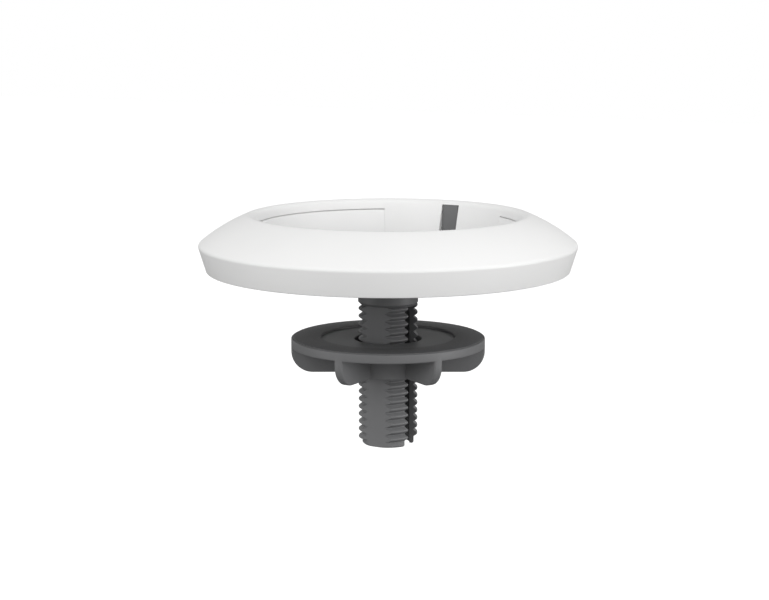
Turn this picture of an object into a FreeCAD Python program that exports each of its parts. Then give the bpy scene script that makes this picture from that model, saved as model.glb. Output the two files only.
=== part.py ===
import FreeCAD, Part
import math
import os

# Through-table mounting ring for a round desk device: a white trim ring with a tapered
# well, on a dark base pan, with a hollow slotted stem that passes through the table and
# a winged nut that clamps it from below.
# Millimetres. Z is up and is the axis of the stem. The origin is where that axis meets
# the table's top face. +Y points to the cable window, +X to the slot in the stem.

# ---- driving dimensions ----

# trim ring: outer corners are given before they are rounded
rim_radius = 70.43          # corner between band and dome, 70.2 once rounded
rim_height = 10.17
band_lean = 3.03            # the band's foot is this much narrower than the rim
foot_height = 0.4           # the band stops this far above the table
rim_round = 1.5
lip_radius = 49.85          # corner between dome and well wall
lip_height = 21.9
dome_radius = 66.7          # of the curve from the rim to the lip, in section
lip_round = 2.6
foot_round = 0.5
well_taper = 15.0           # degrees, the well narrows downwards
skin = 2.2                  # thickness of band and dome
wall = 2.6                  # thickness of the well wall
rib_count = 12
rib_thickness = 1.2

# cable window in the well wall
window_width = 6.5          # at its top
window_top = 19.4
window_draft = 1.4          # degrees, the window widens downwards
tongue_fit = 0.1            # gap round the pan's tongue inside the window
tongue_taper = 5.0          # degrees, lean of the tongue's face

# soft sleeve that lines the well, open at the cable window
sleeve_top = 17.3
sleeve_gap = 0.45           # shadow gap above the sleeve
sleeve_thickness = 1.2
sleeve_opening = 63.0       # degrees left open round the window
sleeve_fit = 0.05

# base pan
pan_thickness = 2.6
pan_fit = 0.2               # gap between the pan and the band
gasket_inset = 4.4          # from the outside of the band's foot to the gasket
gasket_width = 11.0
gasket_thickness = 1.4
gasket_fit = 0.2

# screws that hold the trim ring to the pan, on a circle midway across the gasket
trim_screw_count = 4
trim_screw_radius = 1.45
trim_head_radius = 2.7
trim_head_height = 2.0
trim_screw_length = 9.5     # below the head
tower_height = 2.6          # screw towers above the pan
screw_wall = 1.2            # plastic round a screw head
boss_wall = 1.8             # plastic round a screw's thread
screw_fit = 0.05            # radial gap round a screw's thread
head_fit = 0.3              # radial gap round a screw's head
hole_fit = 0.2              # radial gap where a screw passes through

# threaded stem
crest_radius = 11.05
thread_depth = 1.4
stem_wall = 1.65            # between the cable bore and the thread's root
pitch = 2.87
thread_phase = 1.39         # at +X, a ridge is centred this far above the plain tip
crest_shoulder = 0.32       # depth of the rounded crest
crest_half_width = 0.52     # half width of the ridge where that rounding starts
valley_half_width = 0.145   # half of the flat between two ridges
collar_step = 0.15          # the collar is this much larger than the thread, in radius
collar_end = -12.5
collar_chamfer = 0.8
tip_length = 2.4            # plain end below the thread
tip_chamfer = 0.5
stem_end = -65.7
flat_sink = 0.7             # the two thread-free flats lie this far inside the root
half_turn = 176.0           # degrees that one stretch of ridge spans, from flat to flat
slot_width = 6.7
slot_top = -12.7
flange_margin = 5.5         # flange outside the circle of its screws
flange_thickness = 2.4
mouth_round = 1.5           # rounding at the cable mouth
collar_fit = 0.15           # gap between the collar and the pan's hole, which it passes through
neck_relief = 0.5           # inside the pan, the stem is this much slimmer than the collar

# screws that hold the stem to the pan
stem_screw_margin = 5.4     # from the collar to the circle of screws
stem_screw_count = 4
stem_screw_radius = 1.2
stem_head_radius = 2.3
stem_head_height = 1.4
stem_screw_length = 3.0
cross_width = 0.6           # cross recess in every screw head
cross_depth = 0.8
cross_reach = 0.6           # share of the head's radius that the cross spans

# pad on the floor of the well
pad_thickness = 2.6
pad_fit = 0.4

# winged nut and its clamp pad, as they stand at rest
nut_face = -24.9            # top of the clamp pad
nut_radius = 36.2
nut_flange = 3.35           # height of the flange's edge
nut_end = -38.5
hub_wall = 3.2              # round the entry hole
wing_count = 6
wing_thickness = 3.3
wing_corner = 8.0
wing_round = 0.4
entry_gap = 1.46            # radial gap in the plain hole above the nut's thread
thread_start = 6.25         # the nut's thread starts this far below the clamp face
thread_gap = 0.31           # radial gap between the stem's crests and the nut
nut_tip_gap = 0.35          # radial gap between the nut's crests and the stem's roots
flank_gap = 0.22            # gap between the two threads' flanks, along the axis
nut_chamfer = 0.6
clamp_pad_thickness = 0.8
clamp_pad_inner = 25.0
clamp_pad_proud = 0.3       # the pad stands this far above the nut's edge
clamp_edge = 0.55           # width of the nut's edge round the pad
clamp_pad_fit = 0.15

# ---- dimensions that follow ----

axis = FreeCAD.Vector(0, 0, 1)
origin = FreeCAD.Vector(0, 0, 0)
foot_radius = rim_radius - band_lean
band_slope = (rim_radius - foot_radius) / (rim_height - foot_height)
wall_slope = math.tan(math.radians(well_taper))
pan_top = foot_height + pan_thickness
gasket_outer = foot_radius - gasket_inset
gasket_inner = gasket_outer - gasket_width
trim_screw_circle = (gasket_inner + gasket_outer) / 2
tower_top = pan_top + tower_height
root_radius = crest_radius - thread_depth
bore_radius = root_radius - stem_wall
flat_half_width = root_radius - flat_sink
collar_radius = crest_radius + collar_step
neck_radius = collar_radius - neck_relief
stem_screw_circle = collar_radius + stem_screw_margin
flange_radius = stem_screw_circle + flange_margin
flange_top = pan_top + flange_thickness
ridge_half_width = pitch / 2 - valley_half_width
crest_start = crest_radius - crest_shoulder
flank_slope = (ridge_half_width - crest_half_width) / (crest_start - root_radius)
tip_start = stem_end + tip_length
trim_head_seat = gasket_thickness + trim_head_height
stem_head_seat = flange_top - stem_head_height
nut_edge = nut_face - clamp_pad_proud
nut_seat = nut_face - clamp_pad_thickness
nut_flange_bottom = nut_edge - nut_flange
nut_bore = crest_radius + thread_gap
nut_tip = root_radius + nut_tip_gap
entry_radius = crest_radius + entry_gap
hub_radius = entry_radius + hub_wall
overshoot = 1.0             # how far a cut runs past the faces it opens
bite = 0.25                 # how far a rib or boss sinks into what it grows from
thread_bite = 0.1           # the same for a thread's ridge


def slant(slope):
    """Length of a line of this slope, for one unit along its run."""
    return math.hypot(1.0, slope)


def wall_radius(height, depth=0.0):
    """Radius of the well wall at a height, measured some depth behind its face."""
    return lip_radius - (lip_height - height) * wall_slope + depth * slant(wall_slope)


def band_radius(height, depth=0.0):
    """Radius of the outer band at a height, some depth inside its face."""
    return foot_radius + (height - foot_height) * band_slope - depth * slant(band_slope)


def dome_centre():
    """Centre, in section, of the curve that runs through the rim corner and the lip corner."""
    half_run = (lip_radius - rim_radius) / 2
    half_rise = (lip_height - rim_height) / 2
    half_chord = math.hypot(half_run, half_rise)
    back = math.sqrt(dome_radius ** 2 - half_chord ** 2) / half_chord
    middle = (rim_radius + half_run, rim_height + half_rise)
    return (middle[0] - half_rise * back, middle[1] + half_run * back)


def under_dome(radius_at_zero, slope, depth):
    """Where a line of the given radius and slope meets the dome, some depth under its face."""
    centre = dome_centre()
    offset = radius_at_zero + slope * centre[1] - centre[0]
    reach = (dome_radius - depth) ** 2 * slant(slope) ** 2 - offset ** 2
    rise = (math.sqrt(reach) - slope * offset) / slant(slope) ** 2
    height = centre[1] + rise
    return (radius_at_zero + slope * height, height)


def dome_arc(start, end):
    """The dome's curve, or one that runs parallel to it, between two points in section."""
    centre = dome_centre()
    middle = ((start[0] + end[0]) / 2 - centre[0], (start[1] + end[1]) / 2 - centre[1])
    stretch = math.dist(start, centre) / math.hypot(*middle)
    through = (centre[0] + middle[0] * stretch, centre[1] + middle[1] * stretch)
    return Part.Arc(*[FreeCAD.Vector(r, 0, z) for r, z in (start, through, end)]).toShape()


def domed_ring(outline, arcs):
    """Turn an outline about the axis. The edges that start at the numbered corners are dome arcs."""
    edges = []
    for index, start in enumerate(outline):
        end = outline[(index + 1) % len(outline)]
        if index in arcs:
            edges.append(dome_arc(start, end))
        else:
            line = Part.LineSegment(*[FreeCAD.Vector(r, 0, z) for r, z in (start, end)])
            edges.append(line.toShape())
    return Part.Face(Part.Wire(edges)).revolve(origin, axis, 360.0)


def ring(points, angle=360.0, start=0.0):
    """Turn a closed outline of (radius, height) points about the axis."""
    corners = [FreeCAD.Vector(r, 0, z) for r, z in points]
    face = Part.Face(Part.makePolygon(corners + [corners[0]]))
    solid = face.revolve(origin, axis, angle)
    solid.rotate(origin, axis, start)
    return solid


def tube(inner, outer, low, high):
    """A straight ring, or a disc where inner is zero."""
    return ring([(inner, low), (outer, low), (outer, high), (inner, high)])


def post(radius, low, high, circle=0.0, angle=0.0):
    """An upright cylinder, on the axis or out on a circle."""
    solid = Part.makeCylinder(radius, high - low, FreeCAD.Vector(circle, 0, low))
    solid.rotate(origin, axis, angle)
    return solid


def block(x, y, z):
    """A box from three (low, high) pairs."""
    corner = FreeCAD.Vector(x[0], y[0], z[0])
    return Part.makeBox(x[1] - x[0], y[1] - y[0], z[1] - z[0], corner)


def around(count, offset=0.0):
    """Angles of a pattern spread evenly round the axis."""
    return [offset + 360.0 * n / count for n in range(count)]


def round_circles(solid, circles, radius):
    """Round the full circular edges that lie at the given (radius, height) places."""
    chosen = []
    for edge in solid.Edges:
        point = edge.valueAt(edge.FirstParameter)
        place = (math.hypot(point.x, point.y), point.z)
        if edge.isClosed() and any(math.dist(place, c) < 0.01 for c in circles):
            chosen.append(edge)
    return solid.makeFillet(radius, chosen)


def thread_ridge(outline, height, degrees, start=0.0):
    """A right-hand ridge along a helix that passes +X at the given height, from a start angle."""
    turns = Part.Wire(Part.makeHelix(pitch, pitch * degrees / 360.0, root_radius))
    sweep = Part.BRepOffsetAPI.MakePipeShell(turns)
    sweep.setFrenetMode(True)
    sweep.add(outline)
    sweep.build()
    sweep.makeSolid()
    ridge = sweep.shape()
    ridge.rotate(origin, axis, start)
    ridge.translate(FreeCAD.Vector(0, 0, height + pitch * start / 360.0))
    return ridge


def screw(head_radius, head_height, radius, length):
    """A cross-recess screw, head up, with the underside of its head at zero."""
    head = post(head_radius, 0, head_height)
    head = round_circles(head, [(head_radius, head_height)], head_height / 3)
    shank = post(radius, -length, bite)
    shank = shank.makeChamfer(radius / 3, [shank.Edges[2]])
    arm = head_radius * cross_reach
    half = cross_width / 2
    depth = (head_height - cross_depth, head_height + overshoot)
    cross = block((-arm, arm), (-half, half), depth)
    cross = cross.fuse(block((-half, half), (-arm, arm), depth))
    return head.fuse(shank).cut(cross)


def window_prism(gap, low, near, far):
    """The window's outline, drawn in by a gap, from one distance to another along +Y."""
    high = window_top - gap
    high_half = window_width / 2 - gap
    low_half = high_half + (high - low) * math.tan(math.radians(window_draft))
    outline = [(-low_half, low), (low_half, low), (high_half, high), (-high_half, high)]
    corners = [FreeCAD.Vector(x, near, z) for x, z in outline]
    face = Part.Face(Part.makePolygon(corners + [corners[0]]))
    return face.extrude(FreeCAD.Vector(0, far - near, 0))


def cavity(skin_depth, wall_depth, low):
    """The hollow under the dome, between the band and the well wall."""
    outer = under_dome(band_radius(0, skin_depth), band_slope, skin_depth)
    inner = under_dome(wall_radius(0, wall_depth), wall_slope, skin_depth)
    band_foot = (band_radius(low, skin_depth), low)
    wall_foot = (wall_radius(low, wall_depth), low)
    return [band_foot, outer, inner, wall_foot]


def make_trim_ring():
    hollow = cavity(skin, wall, foot_height)
    outline = [
        (foot_radius, foot_height),
        (rim_radius, rim_height),
        (lip_radius, lip_height),
        (wall_radius(pan_top), pan_top),
        (wall_radius(pan_top, wall), pan_top),
        hollow[2],
        hollow[1],
        hollow[0],
    ]
    body = domed_ring(outline, (1, 5))
    body = round_circles(body, [outline[2]], lip_round)
    body = round_circles(body, [outline[1]], rim_round)
    body = round_circles(body, [outline[0]], foot_round)

    # ribs and screw bosses fill the hollow down to the pan, and bite into the skin
    filled = domed_ring(cavity(skin - bite, wall - bite, pan_top), (1,))
    half = rib_thickness / 2
    rib = block((lip_radius - wall_slope * lip_height, rim_radius), (-half, half),
                (pan_top + overshoot, lip_height))
    extras = []
    for angle in around(rib_count):
        if angle != 90.0:
            extras.append(rib.rotated(origin, axis, angle))
    boss_radius = trim_screw_radius + boss_wall
    for angle in around(trim_screw_count, 45.0):
        extras.append(post(boss_radius, tower_top, lip_height, trim_screw_circle, angle))
    body = body.fuse([extra.common(filled) for extra in extras])

    # pilot holes, the rebate for the sleeve, and the window
    cuts = []
    hole_end = trim_head_seat + trim_screw_length + overshoot
    for angle in around(trim_screw_count, 45.0):
        cuts.append(post(trim_screw_radius + screw_fit, pan_top, hole_end, trim_screw_circle, angle))
    depth = sleeve_thickness + sleeve_fit
    low = pan_top - overshoot
    rebate = [
        (wall_radius(sleeve_top) - overshoot, sleeve_top),
        (wall_radius(sleeve_top, depth), sleeve_top),
        (wall_radius(low, depth), low),
        (wall_radius(low) - overshoot, low),
    ]
    cuts.append(ring(rebate, 360.0 - sleeve_opening, 90.0 + sleeve_opening / 2))
    far = wall_radius(window_top, wall)
    cuts.append(window_prism(0.0, low, wall_radius(0) - overshoot, far))
    return body.cut(cuts)


def make_grip_sleeve():
    top = sleeve_top - sleeve_gap
    outline = [
        (wall_radius(top), top),
        (wall_radius(top, sleeve_thickness), top),
        (wall_radius(pan_top, sleeve_thickness), pan_top),
        (wall_radius(pan_top), pan_top),
    ]
    end_gap = math.degrees(sleeve_fit / lip_radius)
    opening = sleeve_opening + 2 * end_gap
    return ring(outline, 360.0 - opening, 90.0 + opening / 2)


def make_base_pan():
    pan_radius = band_radius(foot_height, skin) - pan_fit
    body = tube(collar_radius + collar_fit, pan_radius, foot_height, pan_top)
    tower_radius = trim_head_radius + head_fit + screw_wall
    for angle in around(trim_screw_count, 45.0):
        body = body.fuse(post(tower_radius, pan_top - bite, tower_top, trim_screw_circle, angle))

    # the tongue stands in the window: its face is flush with the wall at the top
    top = window_top - tongue_fit
    face_top = wall_radius(top)
    face_foot = face_top - (top - pan_top) * math.tan(math.radians(tongue_taper))
    back = wall_radius(window_top, wall) - tongue_fit
    low = pan_top - bite
    side = [(face_foot, low), (face_top, top), (back, top), (back, low)]
    corners = [FreeCAD.Vector(-window_width, y, z) for y, z in side]
    tongue = Part.Face(Part.makePolygon(corners + [corners[0]]))
    tongue = tongue.extrude(FreeCAD.Vector(2 * window_width, 0, 0))
    body = body.fuse(tongue.common(window_prism(tongue_fit, low, face_foot, back)))

    low = foot_height - overshoot
    cuts = [tube(gasket_inner - gasket_fit, gasket_outer + gasket_fit, low, gasket_thickness)]
    for angle in around(trim_screw_count, 45.0):
        cuts.append(post(trim_head_radius + head_fit, low, trim_head_seat, trim_screw_circle, angle))
        cuts.append(post(trim_screw_radius + hole_fit, low, tower_top + overshoot,
                         trim_screw_circle, angle))
    pilot_end = stem_head_seat - stem_screw_length - hole_fit
    for angle in around(stem_screw_count, 45.0):
        cuts.append(post(stem_screw_radius + screw_fit, pilot_end, pan_top + overshoot,
                         stem_screw_circle, angle))
    return body.cut(cuts)


def make_table_gasket():
    return tube(gasket_inner, gasket_outer, 0, gasket_thickness)


def make_floor_pad():
    outer = wall_radius(pan_top) - pad_fit
    return tube(flange_radius + pad_fit, outer, pan_top, pan_top + pad_thickness)


def stem_ridge_outline():
    """Rounded ridge between V-shaped valleys, sunk a little into the core."""
    buried = ridge_half_width + thread_bite * flank_slope
    low_foot = FreeCAD.Vector(root_radius - thread_bite, 0, -buried)
    low_shoulder = FreeCAD.Vector(crest_start, 0, -crest_half_width)
    crest = FreeCAD.Vector(crest_radius, 0, 0)
    high_shoulder = FreeCAD.Vector(crest_start, 0, crest_half_width)
    high_foot = FreeCAD.Vector(root_radius - thread_bite, 0, buried)
    return Part.Wire([
        Part.LineSegment(low_foot, low_shoulder).toShape(),
        Part.Arc(low_shoulder, crest, high_shoulder).toShape(),
        Part.LineSegment(high_shoulder, high_foot).toShape(),
        Part.LineSegment(high_foot, low_foot).toShape(),
    ])


def stem_thread():
    """Each turn of the thread is two stretches of ridge, one on either side of the flats."""
    reach = crest_radius + overshoot
    flats = (-flat_half_width, flat_half_width)
    keep = block((-reach, reach), flats, (tip_start, collar_end + thread_bite))
    outline = stem_ridge_outline()
    turns = math.ceil((collar_end - tip_start) / pitch) + 1
    stretches = []
    for turn in range(-1, turns):
        height = tip_start + thread_phase + turn * pitch
        for side in (0.0, 180.0):
            ridge = thread_ridge(outline, height, half_turn, side - half_turn / 2)
            if ridge.BoundBox.ZMax > tip_start and ridge.BoundBox.ZMin < collar_end:
                stretches.append(ridge.common(keep))
    return stretches


def make_threaded_stem():
    core = ring([
        (0, stem_end),
        (root_radius - tip_chamfer, stem_end),
        (root_radius, stem_end + tip_chamfer),
        (root_radius, collar_end),
        (collar_radius - collar_chamfer, collar_end),
        (collar_radius, collar_end + collar_chamfer),
        (collar_radius, foot_height),
        (neck_radius, foot_height),
        (neck_radius, pan_top),
        (flange_radius, pan_top),
        (flange_radius, flange_top),
        (0, flange_top),
    ])
    core = round_circles(core, [(flange_radius, flange_top)], foot_round)
    bore = post(bore_radius, stem_end - overshoot, flange_top + overshoot)
    body = core.cut(bore)
    body = round_circles(body, [(bore_radius, flange_top)], mouth_round)
    body = body.fuse(stem_thread())

    # the slot, the two flats along the thread, and the screw holes
    half = slot_width / 2
    reach = collar_radius + overshoot
    cuts = [block((0, reach), (-half, half), (stem_end - overshoot, slot_top))]
    for side in ((-reach, -flat_half_width), (flat_half_width, reach)):
        cuts.append(block((-reach, reach), side, (stem_end - overshoot, collar_end)))
    for angle in around(stem_screw_count, 45.0):
        cuts.append(post(stem_head_radius + head_fit, stem_head_seat, flange_top + overshoot,
                         stem_screw_circle, angle))
        cuts.append(post(stem_screw_radius + hole_fit, pan_top - overshoot, stem_head_seat + bite,
                         stem_screw_circle, angle))
    return body.cut(cuts)


def make_trim_screws():
    one = screw(trim_head_radius, trim_head_height, trim_screw_radius, trim_screw_length)
    one.rotate(origin, FreeCAD.Vector(1, 0, 0), 180.0)
    one.translate(FreeCAD.Vector(trim_screw_circle, 0, trim_head_seat))
    return Part.makeCompound([one.rotated(origin, axis, a) for a in around(trim_screw_count, 45.0)])


def make_stem_screws():
    one = screw(stem_head_radius, stem_head_height, stem_screw_radius, stem_screw_length)
    one.translate(FreeCAD.Vector(stem_screw_circle, 0, stem_head_seat))
    return Part.makeCompound([one.rotated(origin, axis, a) for a in around(stem_screw_count, 45.0)])


def nut_ridge_outline():
    """Inward ridge that runs in the stem's valleys."""
    half_widths = []
    for radius in (nut_bore + thread_bite, nut_tip):
        valley = valley_half_width + (radius - root_radius) * flank_slope
        half_widths.append(valley - flank_gap)
    corners = [
        FreeCAD.Vector(nut_bore + thread_bite, 0, -half_widths[0]),
        FreeCAD.Vector(nut_tip, 0, -half_widths[1]),
        FreeCAD.Vector(nut_tip, 0, half_widths[1]),
        FreeCAD.Vector(nut_bore + thread_bite, 0, half_widths[0]),
    ]
    return Part.makePolygon(corners + [corners[0]])


def wing():
    """One radial wing along +X, with a rounded outer lower corner."""
    high = nut_flange_bottom + bite
    inner = entry_radius + bite
    corner_start = nut_radius - wing_corner
    middle = wing_corner * math.sqrt(0.5)
    half = wing_thickness / 2
    start = FreeCAD.Vector(nut_radius, -half, nut_end + wing_corner)
    bend = FreeCAD.Vector(corner_start + middle, -half, nut_end + wing_corner - middle)
    end = FreeCAD.Vector(corner_start, -half, nut_end)
    inner_low = FreeCAD.Vector(inner, -half, nut_end)
    inner_high = FreeCAD.Vector(inner, -half, high)
    outer_high = FreeCAD.Vector(nut_radius, -half, high)
    outline = Part.Wire([
        Part.Arc(start, bend, end).toShape(),
        Part.LineSegment(end, inner_low).toShape(),
        Part.LineSegment(inner_low, inner_high).toShape(),
        Part.LineSegment(inner_high, outer_high).toShape(),
        Part.LineSegment(outer_high, start).toShape(),
    ])
    solid = Part.Face(outline).extrude(FreeCAD.Vector(0, wing_thickness, 0))
    free = [e for e in solid.Edges if lies_on_wing_side(e, half, high, inner)]
    return solid.makeFillet(wing_round, free)


def lies_on_wing_side(edge, half, high, inner):
    """True for the long edges of a wing that stay free, on either of its two faces."""
    middle = edge.valueAt((edge.FirstParameter + edge.LastParameter) / 2)
    on_side = abs(abs(middle.y) - half) < 0.01
    return on_side and middle.z < high - 0.01 and middle.x > inner + 0.01


def make_wing_nut():
    pocket = nut_radius - clamp_edge
    body = ring([
        (entry_radius, nut_end),
        (hub_radius, nut_end),
        (hub_radius, nut_flange_bottom),
        (nut_radius, nut_flange_bottom),
        (nut_radius, nut_edge),
        (pocket, nut_edge),
        (pocket, nut_seat),
        (entry_radius, nut_seat),
    ])
    thread_top = nut_face - thread_start
    body = body.fuse(tube(nut_bore, entry_radius + bite, nut_end, thread_top))
    for angle in around(wing_count, 30.0):
        body = body.fuse(wing().rotated(origin, axis, angle))
    body = body.common(post(nut_radius, nut_end - overshoot, nut_face))

    # lead-in for the stem, then the ridge, in step with the stem's valleys
    body = body.cut(ring([
        (0, nut_end),
        (nut_bore + nut_chamfer, nut_end),
        (nut_bore, nut_end + nut_chamfer),
        (0, nut_end + nut_chamfer),
    ]))
    valley = tip_start + thread_phase + pitch / 2
    low = valley + pitch * math.floor((nut_end - pitch - valley) / pitch)
    turns = math.ceil((thread_top + pitch - low) / pitch)
    ridge = thread_ridge(nut_ridge_outline(), low, turns * 360.0)
    ridge = ridge.common(tube(0, nut_bore + 2 * bite, nut_end + nut_chamfer, thread_top))
    return body.fuse(ridge)


def make_clamp_pad():
    outer = nut_radius - clamp_edge - clamp_pad_fit
    return tube(clamp_pad_inner, outer, nut_seat, nut_face)


nodes = {
    "trim_ring": make_trim_ring,
    "grip_sleeve": make_grip_sleeve,
    "base_pan": make_base_pan,
    "table_gasket": make_table_gasket,
    "floor_pad": make_floor_pad,
    "threaded_stem": make_threaded_stem,
    "trim_screws": make_trim_screws,
    "stem_screws": make_stem_screws,
    "wing_nut": make_wing_nut,
    "clamp_pad": make_clamp_pad,
}

os.makedirs("parts", exist_ok=True)
for name, make in nodes.items():
    make().exportStep("parts/" + name + ".step")
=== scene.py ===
import math
import bmesh
import bpy
from mathutils import Matrix, Vector


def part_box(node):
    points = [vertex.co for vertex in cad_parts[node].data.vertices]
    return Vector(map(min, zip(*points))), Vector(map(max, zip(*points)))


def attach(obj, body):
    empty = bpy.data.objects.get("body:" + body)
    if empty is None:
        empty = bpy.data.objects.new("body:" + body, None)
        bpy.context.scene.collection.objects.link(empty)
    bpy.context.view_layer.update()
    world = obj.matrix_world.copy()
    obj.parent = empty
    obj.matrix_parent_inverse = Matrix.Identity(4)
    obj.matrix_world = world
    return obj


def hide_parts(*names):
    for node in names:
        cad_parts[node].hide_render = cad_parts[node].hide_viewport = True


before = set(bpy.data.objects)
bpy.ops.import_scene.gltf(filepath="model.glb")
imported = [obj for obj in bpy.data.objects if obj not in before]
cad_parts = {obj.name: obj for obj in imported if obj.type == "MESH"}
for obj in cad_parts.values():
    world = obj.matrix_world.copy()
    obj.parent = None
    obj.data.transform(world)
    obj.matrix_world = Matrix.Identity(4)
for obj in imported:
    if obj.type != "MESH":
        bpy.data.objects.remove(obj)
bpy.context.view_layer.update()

mm = 0.001

# ---- Base pan ----
# A dish moulded in grey filled plastic closes the ring from below and carries the stem.
# Its tongue stands up in the cable window, so the pan's dark grey shows in the white wall.
# Its shape is the frame's own, and it is given the mottle and grain of its mould.


def skin_group(name, coarse, fine):
    """Node group: the mottle and the fine grain that a mould leaves on plastic or rubber."""
    group = bpy.data.node_groups.new(name, "ShaderNodeTree")
    face = group.interface
    face.new_socket("Place", in_out="INPUT", socket_type="NodeSocketVector")
    face.new_socket("Dark", in_out="INPUT", socket_type="NodeSocketColor")
    face.new_socket("Light", in_out="INPUT", socket_type="NodeSocketColor")
    face.new_socket("Gloss Low", in_out="INPUT", socket_type="NodeSocketFloat")
    face.new_socket("Gloss High", in_out="INPUT", socket_type="NodeSocketFloat")
    face.new_socket("Colour", in_out="OUTPUT", socket_type="NodeSocketColor")
    face.new_socket("Roughness", in_out="OUTPUT", socket_type="NodeSocketFloat")
    face.new_socket("Height", in_out="OUTPUT", socket_type="NodeSocketFloat")
    nodes, links = group.nodes, group.links
    entry = nodes.new("NodeGroupInput")
    leave = nodes.new("NodeGroupOutput")

    mottle = nodes.new("ShaderNodeTexNoise")
    mottle.inputs["Scale"].default_value = coarse
    mottle.inputs["Detail"].default_value = 4.0
    grain = nodes.new("ShaderNodeTexNoise")
    grain.inputs["Scale"].default_value = fine
    grain.inputs["Detail"].default_value = 2.0
    for texture in (mottle, grain):
        links.new(entry.outputs["Place"], texture.inputs["Vector"])

    blend = nodes.new("ShaderNodeMix")
    blend.data_type = "RGBA"
    links.new(mottle.outputs["Fac"], blend.inputs["Factor"])
    links.new(entry.outputs["Dark"], blend.inputs["A"])
    links.new(entry.outputs["Light"], blend.inputs["B"])
    links.new(blend.outputs["Result"], leave.inputs["Colour"])

    gloss = nodes.new("ShaderNodeMapRange")
    links.new(grain.outputs["Fac"], gloss.inputs["Value"])
    gloss.inputs["From Min"].default_value = 0.3
    gloss.inputs["From Max"].default_value = 0.7
    links.new(entry.outputs["Gloss Low"], gloss.inputs["To Min"])
    links.new(entry.outputs["Gloss High"], gloss.inputs["To Max"])
    links.new(gloss.outputs["Result"], leave.inputs["Roughness"])
    links.new(grain.outputs["Fac"], leave.inputs["Height"])
    return group


def moulded(name, skin, dark, light, gloss, depth, specular=0.5):
    """Material with a moulded skin: two tones, a roughness range and a grain depth in metres."""
    material = bpy.data.materials.new(name)
    material.use_nodes = True
    nodes, links = material.node_tree.nodes, material.node_tree.links
    shader = nodes["Principled BSDF"]
    place = nodes.new("ShaderNodeTexCoord")
    surface = nodes.new("ShaderNodeGroup")
    surface.node_tree = skin
    surface.inputs["Dark"].default_value = (*dark, 1.0)
    surface.inputs["Light"].default_value = (*light, 1.0)
    surface.inputs["Gloss Low"].default_value = gloss[0]
    surface.inputs["Gloss High"].default_value = gloss[1]
    bump = nodes.new("ShaderNodeBump")
    bump.inputs["Distance"].default_value = depth
    shader.inputs["Specular IOR Level"].default_value = specular
    links.new(place.outputs["Object"], surface.inputs["Place"])
    links.new(surface.outputs["Colour"], shader.inputs["Base Color"])
    links.new(surface.outputs["Roughness"], shader.inputs["Roughness"])
    links.new(surface.outputs["Height"], bump.inputs["Height"])
    links.new(bump.outputs["Normal"], shader.inputs["Normal"])
    return material


plastic_skin = skin_group("plastic_skin", coarse=45.0, fine=5200.0)
grey_plastic = moulded(
    "grey_plastic", plastic_skin, dark=(0.145, 0.146, 0.149), light=(0.174, 0.175, 0.179),
    gloss=(0.44, 0.56), depth=0.02 * mm)
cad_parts["base_pan"].material_slots[0].material = grey_plastic

# ---- Table gasket ----
# A moulded rubber ring sits in a groove under the pan. Three beads on its underside grip
# the table, and its edges are rounded. It stands a little below the ring's foot.


def rounded_outline(corners, steps):
    """One flat face of (radius, height, rounding) corners, each rounded in some steps."""
    shape = bmesh.new()
    points = [shape.verts.new((radius, 0, height)) for radius, height, _ in corners]
    shape.faces.new(points)
    cuts = []
    for index, (_, _, rounding) in enumerate(corners):
        here = points[index].co
        before = points[index - 1].co - here
        after = points[(index + 1) % len(points)].co - here
        cuts.append(rounding / math.tan(before.angle(after) / 2))
    for point, cut in zip(points, cuts):
        if cut > 0:
            bmesh.ops.bevel(
                shape, geom=[point], affect="VERTICES", offset=cut, offset_type="OFFSET",
                segments=steps, profile=0.5, material=-1)
    return shape


def turned(corners, steps=4, sides=192):
    """A rounded outline turned right round the stem's axis into a closed solid."""
    shape = rounded_outline(corners, steps)
    bmesh.ops.delete(shape, geom=shape.faces[:], context="FACES_ONLY")
    bmesh.ops.spin(
        shape, geom=shape.verts[:] + shape.edges[:], cent=(0, 0, 0), axis=(0, 0, 1),
        dvec=(0, 0, 0), angle=math.tau, steps=sides, use_merge=True)
    bmesh.ops.recalc_face_normals(shape, faces=shape.faces)
    return shape


def add_piece(shape, name, material):
    """Turns a finished mesh into an object, smooth but for its sharp edges."""
    mesh = bpy.data.meshes.new(name)
    shape.to_mesh(mesh)
    shape.free()
    mesh.polygons.foreach_set("use_smooth", [True] * len(mesh.polygons))
    mesh.set_sharp_from_angle(angle=math.radians(32))
    mesh.materials.append(material)
    piece = bpy.data.objects.new(name, mesh)
    bpy.context.collection.objects.link(piece)
    return piece


gasket_low, gasket_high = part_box("table_gasket")
gasket_width = 11.0 * mm
gasket_outer = gasket_high.y
gasket_inner = gasket_outer - gasket_width
gasket_edge = 0.4 * mm
bead_count = 3
bead_gap = 1.2 * mm
bead_depth = 0.5 * mm
bead_width = (gasket_outer - gasket_inner - (bead_count - 1) * bead_gap) / bead_count
gasket_outline = [
    (gasket_outer, gasket_high.z, gasket_edge),
    (gasket_inner, gasket_high.z, gasket_edge),
]
for bead in range(bead_count):
    start = gasket_inner + bead * (bead_width + bead_gap)
    gasket_outline.append((start, gasket_low.z, gasket_edge))
    gasket_outline.append((start + bead_width, gasket_low.z, gasket_edge))
    if bead < bead_count - 1:
        gasket_outline.append((start + bead_width, gasket_low.z + bead_depth, 0))
        gasket_outline.append((start + bead_width + bead_gap, gasket_low.z + bead_depth, 0))
rubber_skin = skin_group("rubber_skin", coarse=70.0, fine=3600.0)
black_rubber = moulded(
    "black_rubber", rubber_skin, dark=(0.02, 0.02, 0.021), light=(0.032, 0.032, 0.033),
    gloss=(0.68, 0.82), depth=0.03 * mm, specular=0.35)
gasket = add_piece(turned(gasket_outline, steps=3), "rubber_gasket", black_rubber)
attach(gasket, "ring")
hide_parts("table_gasket")

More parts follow.
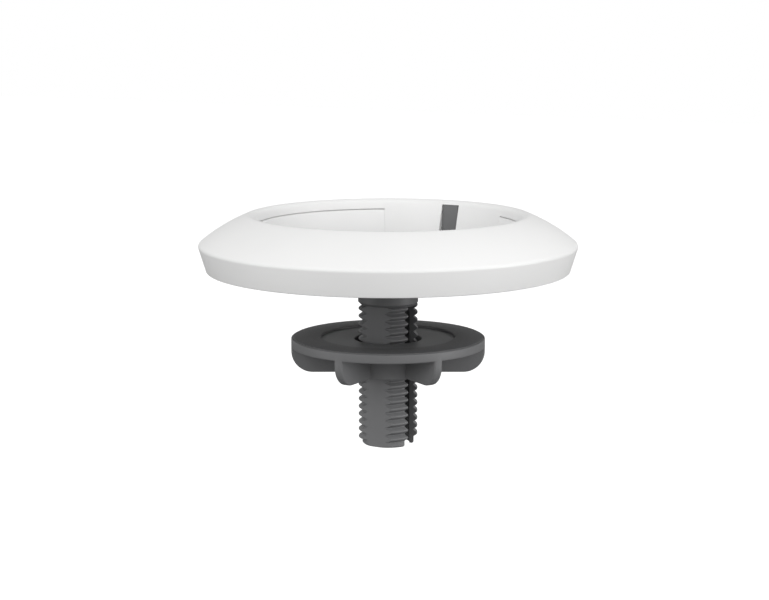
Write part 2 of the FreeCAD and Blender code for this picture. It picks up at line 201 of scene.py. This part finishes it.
# ---- Threaded stem ----
# The hollow stem hangs from its flange on the pan. It is moulded in the pan's grey
# plastic, with its thread stopped at two flats and cut through by the cable slot.

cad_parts["threaded_stem"].material_slots[0].material = grey_plastic

# ---- Stem and ring screws ----
# Small cross-recess screws of zinc-plated steel: four hold the stem's flange to the pan,
# and four more hold the pan to the ring from below, under the gasket.

steel_skin = skin_group("steel_skin", coarse=260.0, fine=9000.0)
zinc_steel = moulded(
    "zinc_steel", steel_skin, dark=(0.50, 0.50, 0.52), light=(0.62, 0.62, 0.64),
    gloss=(0.24, 0.36), depth=0.006 * mm)
zinc_steel.node_tree.nodes["Principled BSDF"].inputs["Metallic"].default_value = 1.0
for screws in ("stem_screws", "trim_screws"):
    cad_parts[screws].material_slots[0].material = zinc_steel

# ---- Floor pad ----
# A rubber ring lies on the pan round the stem's flange, and the device stands on it.
# Fine ribs are moulded round its top so that the device doesn't turn.

pad_low, pad_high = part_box("floor_pad")
pad_outer = pad_high.y
pad_inner = 22.5 * mm
pad_edge = 0.5 * mm
rib_count = 5
rib_pitch = 2.6 * mm
rib_groove = 0.9 * mm
rib_depth = 0.35 * mm
pad_outline = [
    (pad_outer, pad_low.z, 0),
    (pad_outer, pad_high.z, pad_edge),
]
for rib in range(rib_count):
    start = pad_outer - (rib + 1) * rib_pitch
    for offset, drop in ((0, 0), (0, rib_depth), (-rib_groove, rib_depth), (-rib_groove, 0)):
        pad_outline.append((start + offset, pad_high.z - drop, 0))
pad_outline.append((pad_inner, pad_high.z, pad_edge))
pad_outline.append((pad_inner, pad_low.z, 0))
# This rubber is darker grey than the nut's plastic: painted shade for the shadow the white ring
# casts on the nut's top. The floor pad shares it.
grey_rubber_painted_shade = moulded(
    "grey_rubber_painted_shade", rubber_skin, dark=(0.112, 0.112, 0.115), light=(0.136, 0.136, 0.139),
    gloss=(0.52, 0.66), depth=0.03 * mm, specular=0.5)
floor_pad = add_piece(turned(pad_outline, steps=3), "rubber_floor_pad", grey_rubber_painted_shade)
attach(floor_pad, "ring")
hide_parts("floor_pad")

# ---- Trim ring ----
# The white ring is one moulding: a band, a domed top, a rounded lip and a well wall that
# narrows downwards, hollow underneath. A rebate takes the sleeve, and the cable window
# is cut through the wall, with its edges softened for the cable.


def combine(body, tool, how):
    """The body with the tool cut away, added or kept in common. Both meshes are used up."""
    holders = []
    for shape in (body, tool):
        mesh = bpy.data.meshes.new("blank")
        shape.to_mesh(mesh)
        shape.free()
        holder = bpy.data.objects.new("blank", mesh)
        bpy.context.collection.objects.link(holder)
        holders.append(holder)
    joining = holders[0].modifiers.new("joining", "BOOLEAN")
    joining.operation = how
    joining.solver = "EXACT"
    joining.object = holders[1]
    made = bmesh.new()
    made.from_object(holders[0], bpy.context.evaluated_depsgraph_get())
    for holder in holders:
        mesh = holder.data
        bpy.data.objects.remove(holder)
        bpy.data.meshes.remove(mesh)
    return made


def block(low, high):
    """A box from its lowest to its highest corner."""
    shape = bmesh.new()
    bmesh.ops.create_cube(shape, size=1.0)
    size = Vector(high) - Vector(low)
    bmesh.ops.scale(shape, verts=shape.verts, vec=size)
    bmesh.ops.translate(shape, verts=shape.verts, vec=Vector(low) + size / 2)
    return shape


def part_turned(corners, opening, sides=160):
    """An outline turned round the axis but for an opening, in degrees, centred on +Y."""
    shape = rounded_outline(corners, 4)
    loop = shape.verts[:] + shape.edges[:] + shape.faces[:]
    turn = Matrix.Rotation(math.radians(90 + opening / 2), 3, "Z")
    bmesh.ops.rotate(shape, verts=shape.verts, cent=(0, 0, 0), matrix=turn)
    bmesh.ops.spin(
        shape, geom=loop, cent=(0, 0, 0), axis=(0, 0, 1), dvec=(0, 0, 0),
        angle=math.radians(360 - opening), steps=sides)
    bmesh.ops.recalc_face_normals(shape, faces=shape.faces)
    return shape


foot_radius = 67.4 * mm
foot_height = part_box("trim_ring")[0].z
rim_corner = Vector((70.43, 10.17)) * mm
lip_corner = Vector((49.85, 21.9)) * mm
dome_radius = 66.7 * mm
wall_slope = math.tan(math.radians(15))
wall_thickness = 2.6 * mm
skin_thickness = 2.2 * mm
wall_foot = pad_low.z


def wall_radius(height, depth=0.0):
    """Radius of the well wall at a height, some depth behind its face."""
    return lip_corner.x - (lip_corner.y - height) * wall_slope + depth


# The dome's arc bows outward between the rim and the lip.
chord = lip_corner - rim_corner
dome_drop = math.sqrt(dome_radius**2 - (chord.length / 2)**2)
inward = Vector((-chord.y, chord.x)).normalized()
dome_centre = (lip_corner + rim_corner) / 2 + inward * dome_drop


def dome_height(radius, depth=0.0):
    """Height of the dome at a radius, some depth under its face."""
    return dome_centre.y + math.sqrt((dome_radius - depth)**2 - (radius - dome_centre.x)**2)


dome_steps = 12
rim_rounding = 1.5 * mm
lip_rounding = 2.75 * mm
wall_edge = 0.3 * mm
hollow_rounding = 0.6 * mm
hollow_lip_height = 17.0 * mm
hollow_lip = wall_radius(hollow_lip_height, wall_thickness)
hollow_rim = rim_corner.x - 3.1 * mm
trim_outline = [
    (foot_radius, foot_height, 0.5 * mm),
    (rim_corner.x, rim_corner.y, rim_rounding),
]
for step in range(2, dome_steps - 1):
    radius = rim_corner.x + chord.x * step / dome_steps
    trim_outline.append((radius, dome_height(radius), 0))
trim_outline += [
    (lip_corner.x, lip_corner.y, lip_rounding),
    (wall_radius(wall_foot), wall_foot, wall_edge),
    (wall_radius(wall_foot, wall_thickness), wall_foot, wall_edge),
    (hollow_lip, dome_height(hollow_lip, skin_thickness), hollow_rounding),
    (hollow_rim, dome_height(hollow_rim, skin_thickness), hollow_rounding),
    (foot_radius - skin_thickness, foot_height, wall_edge),
]
ring_shape = turned(trim_outline, steps=8, sides=240)

sleeve_low, sleeve_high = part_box("grip_sleeve")
sleeve_thickness = 1.2 * mm
sleeve_gap = 0.45 * mm
sleeve_opening = 63.0
overcut = 1.0 * mm
rebate_top = sleeve_high.z + sleeve_gap
rebate_foot = wall_foot - overcut
rebate_depth = sleeve_thickness + 0.06 * mm
rebate_outline = [
    (wall_radius(rebate_top, -2 * overcut), rebate_top, 0),
    (wall_radius(rebate_top, rebate_depth), rebate_top, 0),
    (wall_radius(rebate_foot, rebate_depth), rebate_foot, 0),
    (wall_radius(rebate_foot, -2 * overcut), rebate_foot, 0),
]
ring_shape = combine(ring_shape, part_turned(rebate_outline, sleeve_opening), "DIFFERENCE")

window_half = 3.25 * mm
window_draft = math.tan(math.radians(1.4))
window_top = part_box("base_pan")[1].z + 0.1 * mm
window_near = 38.0 * mm
window_far = wall_radius(window_top, wall_thickness)
window = block((-window_half, window_near, rebate_foot), (window_half, window_far, window_top))
for point in window.verts:
    if point.co.z < window_top:
        point.co.x += math.copysign((window_top - rebate_foot) * window_draft, point.co.x)
ring_shape = combine(ring_shape, window, "DIFFERENCE")


def at_window_mouth(point):
    """True where the window's sides and top meet the face of the well wall."""
    half_here = window_half + (window_top - point.z) * window_draft
    on_side = math.isclose(abs(point.x), half_here, abs_tol=0.02 * mm)
    on_top = math.isclose(point.z, window_top, abs_tol=0.02 * mm)
    reach = math.hypot(point.x, point.y)
    on_wall = math.isclose(reach, wall_radius(point.z), abs_tol=0.03 * mm)
    return point.y > 0 and on_wall and (on_side or on_top)


mouth = [e for e in ring_shape.edges if all(at_window_mouth(v.co) for v in e.verts)]
mouth_edge = 0.35 * mm
bmesh.ops.bevel(
    ring_shape, geom=mouth, affect="EDGES", offset=mouth_edge, offset_type="OFFSET",
    segments=3, profile=0.5, material=-1)

white_skin = skin_group("white_skin", coarse=28.0, fine=6500.0)
white_plastic = moulded(
    "white_plastic", white_skin, dark=(0.86, 0.86, 0.855), light=(0.90, 0.90, 0.895),
    gloss=(0.40, 0.50), depth=0.012 * mm)
trim_ring = add_piece(ring_shape, "white_trim_ring", white_plastic)
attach(trim_ring, "ring")
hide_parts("trim_ring")

# ---- Grip sleeve ----
# A C-shaped sleeve of white soft-touch elastomer lines the well below the lip and holds
# the device by friction. Its ends stop either side of the cable window.

sleeve_edge = 0.25 * mm
sleeve_end_play = 0.12
sleeve_outline = [
    (wall_radius(sleeve_high.z), sleeve_high.z, sleeve_edge),
    (wall_radius(sleeve_high.z, sleeve_thickness), sleeve_high.z, 0),
    (wall_radius(sleeve_low.z, sleeve_thickness), sleeve_low.z, 0),
    (wall_radius(sleeve_low.z), sleeve_low.z, sleeve_edge),
]
white_elastomer = moulded(
    "white_elastomer", rubber_skin, dark=(0.87, 0.87, 0.865), light=(0.91, 0.91, 0.905),
    gloss=(0.52, 0.62), depth=0.012 * mm, specular=0.4)
sleeve_shape = part_turned(sleeve_outline, sleeve_opening + sleeve_end_play)
sleeve = add_piece(sleeve_shape, "soft_sleeve", white_elastomer)
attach(sleeve, "ring")
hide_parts("grip_sleeve")

# ---- Clamp pad ----
# A thin rubber ring lies in a shallow seat on top of the nut and bears on the table.
# It slips on the nut as the nut turns, so the table isn't scuffed.

clamp_low, clamp_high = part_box("clamp_pad")
clamp_outer = clamp_high.y
clamp_inner = 25.0 * mm
clamp_edge = 0.22 * mm
clamp_outline = [
    (clamp_outer, clamp_low.z, 0),
    (clamp_outer, clamp_high.z, clamp_edge),
    (clamp_inner, clamp_high.z, clamp_edge),
    (clamp_inner, clamp_low.z, 0),
]
# The clamp pad's darker grey is painted shade for the white ring's shadow on the nut's top.
clamp_pad = add_piece(turned(clamp_outline, steps=3), "rubber_clamp_pad", grey_rubber_painted_shade)
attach(clamp_pad, "pad")
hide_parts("clamp_pad")

# ---- Wing nut ----
# Flange, hub and six wings are one moulding in the stem's grey plastic. The hub has a
# plain entry hole above its thread, and every edge that fingers meet is rounded.


def helix(corners, height, pitch, turns, sides=60):
    """A right-hand ridge of an upright outline, wound up round the axis from +X at a height."""
    shape = bmesh.new()
    shape.faces.new([shape.verts.new((radius, 0, height + rise)) for radius, rise in corners])
    bmesh.ops.spin(
        shape, geom=shape.verts[:] + shape.edges[:] + shape.faces[:], cent=(0, 0, 0),
        axis=(0, 0, 1), dvec=(0, 0, pitch / sides), angle=math.tau * turns, steps=sides * turns)
    bmesh.ops.recalc_face_normals(shape, faces=shape.faces)
    return shape


nut_low, nut_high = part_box("wing_nut")
nut_radius = nut_high.x
flange_bottom = nut_high.z - 3.35 * mm
hub_radius = 15.71 * mm
entry_radius = 12.51 * mm
entry_depth = 6.25 * mm
thread_radius = 11.36 * mm
thread_top = clamp_high.z - entry_depth
lead_in = 0.6 * mm
seat_radius = nut_radius - 0.55 * mm
nut_outline = [
    (thread_radius, nut_low.z + lead_in, 0),
    (thread_radius + lead_in, nut_low.z, 0),
    (hub_radius, nut_low.z, 0.5 * mm),
    (hub_radius, flange_bottom, 0.7 * mm),
    (nut_radius, flange_bottom, 0.5 * mm),
    (nut_radius, nut_high.z, 0.4 * mm),
    (seat_radius, nut_high.z, 0),
    (seat_radius, clamp_low.z, 0),
    (entry_radius, clamp_low.z, 0.4 * mm),
    (entry_radius, thread_top, 0),
    (thread_radius, thread_top, 0.3 * mm),
]
nut_shape = turned(nut_outline, steps=4)

wing_corner = 8.0 * mm
wing_half = 1.65 * mm
wing_edge = 0.7 * mm
wing_root = 1.0 * mm
wing_count = 6
first_wing = math.radians(30)
root_radius = hub_radius - wing_root
root_height = flange_bottom + wing_root
wing_outline = [
    (root_radius, root_height, 0),
    (root_radius, nut_low.z, 0),
    (nut_radius, nut_low.z, wing_corner),
    (nut_radius, root_height, 0),
]


def is_finger_edge(edge):
    """True for a wing's edges that stay outside the hub and the flange."""
    start, end = edge.verts[0].co, edge.verts[1].co
    middle = (start + end) / 2
    outside = middle.x > root_radius + 0.1 * wing_root and middle.z < root_height - 0.1 * wing_root
    return outside and abs(start.y - end.y) < wing_half


def add_wing(wings, angle):
    """One wing, an upright plate with rounded edges, turned round the axis to its angle."""
    plate = rounded_outline(wing_outline, 16)
    bmesh.ops.translate(plate, verts=plate.verts, vec=(0, -wing_half, 0))
    grown = bmesh.ops.extrude_face_region(plate, geom=plate.faces[:])["geom"]
    moved = [part for part in grown if isinstance(part, bmesh.types.BMVert)]
    bmesh.ops.translate(plate, verts=moved, vec=(0, 2 * wing_half, 0))
    bmesh.ops.recalc_face_normals(plate, faces=plate.faces)
    finger_edges = [edge for edge in plate.edges if is_finger_edge(edge)]
    bmesh.ops.bevel(
        plate, geom=finger_edges, affect="EDGES", offset=wing_edge, offset_type="OFFSET",
        segments=4, profile=0.5, material=-1)
    turn = Matrix.Rotation(angle, 3, "Z")
    bmesh.ops.rotate(plate, verts=plate.verts, cent=(0, 0, 0), matrix=turn)
    blank = bpy.data.meshes.new("blank")
    plate.to_mesh(blank)
    plate.free()
    wings.from_mesh(blank)
    bpy.data.meshes.remove(blank)


wing_shapes = bmesh.new()
for wing in range(wing_count):
    add_wing(wing_shapes, first_wing + math.tau * wing / wing_count)
nut_shape = combine(nut_shape, wing_shapes, "UNION")

thread_pitch = 2.87 * mm
thread_turns = 6
thread_start = -43.255 * mm
ridge_foot = thread_radius + 0.2 * mm
ridge_tip = 10.0 * mm
foot_half = 1.2 * mm
tip_half = 0.165 * mm
ridge_outline = [
    (ridge_foot, -foot_half),
    (ridge_tip, -tip_half),
    (ridge_tip, tip_half),
    (ridge_foot, foot_half),
]
ridge = helix(ridge_outline, thread_start, thread_pitch, thread_turns)
span = thread_radius + 1.0 * mm
thread_end = thread_top - 0.3 * mm
thread_room = block((-span, -span, nut_low.z + lead_in), (span, span, thread_end))
nut_shape = combine(nut_shape, combine(ridge, thread_room, "INTERSECT"), "UNION")
wing_nut = add_piece(nut_shape, "winged_nut", grey_plastic)
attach(wing_nut, "nut")
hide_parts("wing_nut")

# ---- Studio ----
# A pale floor lies far below. The camera looks a little down on the ring, and soft
# boxes light it from the left, from low on either side and from the front.

camera_turn = math.radians(30.0)
across = Vector((math.cos(camera_turn), math.sin(camera_turn), 0))
away = Vector((-math.sin(camera_turn), math.cos(camera_turn), 0))
camera_pitch = 0.16483
distance = 710.3 * mm
aim_left = 1.34 * mm
aim_drop = 11.74 * mm
aim = across * -aim_left + Vector((0, 0, foot_height - aim_drop))
look = away * math.cos(camera_pitch) - Vector((0, 0, math.sin(camera_pitch)))
camera_data = bpy.data.cameras.new("camera")
camera_data.lens = 89.2
camera_data.sensor_width = 36.0
camera_data.clip_end = 20.0
camera = bpy.data.objects.new("camera", camera_data)
camera.location = aim - look * distance
camera.rotation_euler = look.to_track_quat("-Z", "Y").to_euler()
bpy.context.collection.objects.link(camera)
bpy.context.scene.camera = camera


light_reach = 1.3


def softbox(name, direction, width, height, power):
    """A rectangular light that faces the object from a (right, away, up) direction."""
    light = bpy.data.lights.new(name, "AREA")
    light.shape = "RECTANGLE"
    light.size = width
    light.size_y = height
    light.energy = power
    lamp = bpy.data.objects.new(name, light)
    ray = across * direction[0] + away * direction[1] + Vector((0, 0, direction[2]))
    lamp.location = ray.normalized() * light_reach
    lamp.rotation_euler = (-ray).to_track_quat("-Z", "Y").to_euler()
    bpy.context.collection.objects.link(lamp)


softbox("left_box", (-0.7, -1, 0.7), width=0.5, height=0.8, power=5.0)
softbox("low_left_box", (-1, -0.25, 0.05), width=0.5, height=0.9, power=2.6)
softbox("right_box", (1, -0.3, 0.05), width=0.5, height=1.1, power=7.2)
softbox("front_box", (0.45, -1, 0.4), width=0.6, height=0.9, power=3.8)

world = bpy.data.worlds.new("studio")
world.use_nodes = True
world_nodes, world_links = world.node_tree.nodes, world.node_tree.links
glow = world_nodes["Background"]
glow.inputs["Color"].default_value = (1, 1, 1, 1)
rays = world_nodes.new("ShaderNodeLightPath")
strength = world_nodes.new("ShaderNodeMapRange")
strength.inputs["To Min"].default_value = 0.58
strength.inputs["To Max"].default_value = 1.0
world_links.new(rays.outputs["Is Camera Ray"], strength.inputs["Value"])
world_links.new(strength.outputs["Result"], glow.inputs["Strength"])
bpy.context.scene.world = world
bpy.context.scene.view_settings.view_transform = "Standard"

floor_half = 6.0
floor_height = -0.4
floor_shape = bmesh.new()
bmesh.ops.create_grid(floor_shape, x_segments=1, y_segments=1, size=floor_half)
bmesh.ops.translate(floor_shape, verts=floor_shape.verts, vec=(0, 0, floor_height))
floor_paint = bpy.data.materials.new("floor_paint")
floor_paint.use_nodes = True
floor_nodes, floor_links = floor_paint.node_tree.nodes, floor_paint.node_tree.links
floor_shader = floor_nodes["Principled BSDF"]
floor_shader.inputs["Base Color"].default_value = (0.22, 0.22, 0.22, 1)
floor_shader.inputs["Roughness"].default_value = 0.9
floor_shader.inputs["Emission Color"].default_value = (1, 1, 1, 1)
floor_rays = floor_nodes.new("ShaderNodeLightPath")
floor_links.new(floor_rays.outputs["Is Camera Ray"], floor_shader.inputs["Emission Strength"])
floor = add_piece(floor_shape, "floor", floor_paint)
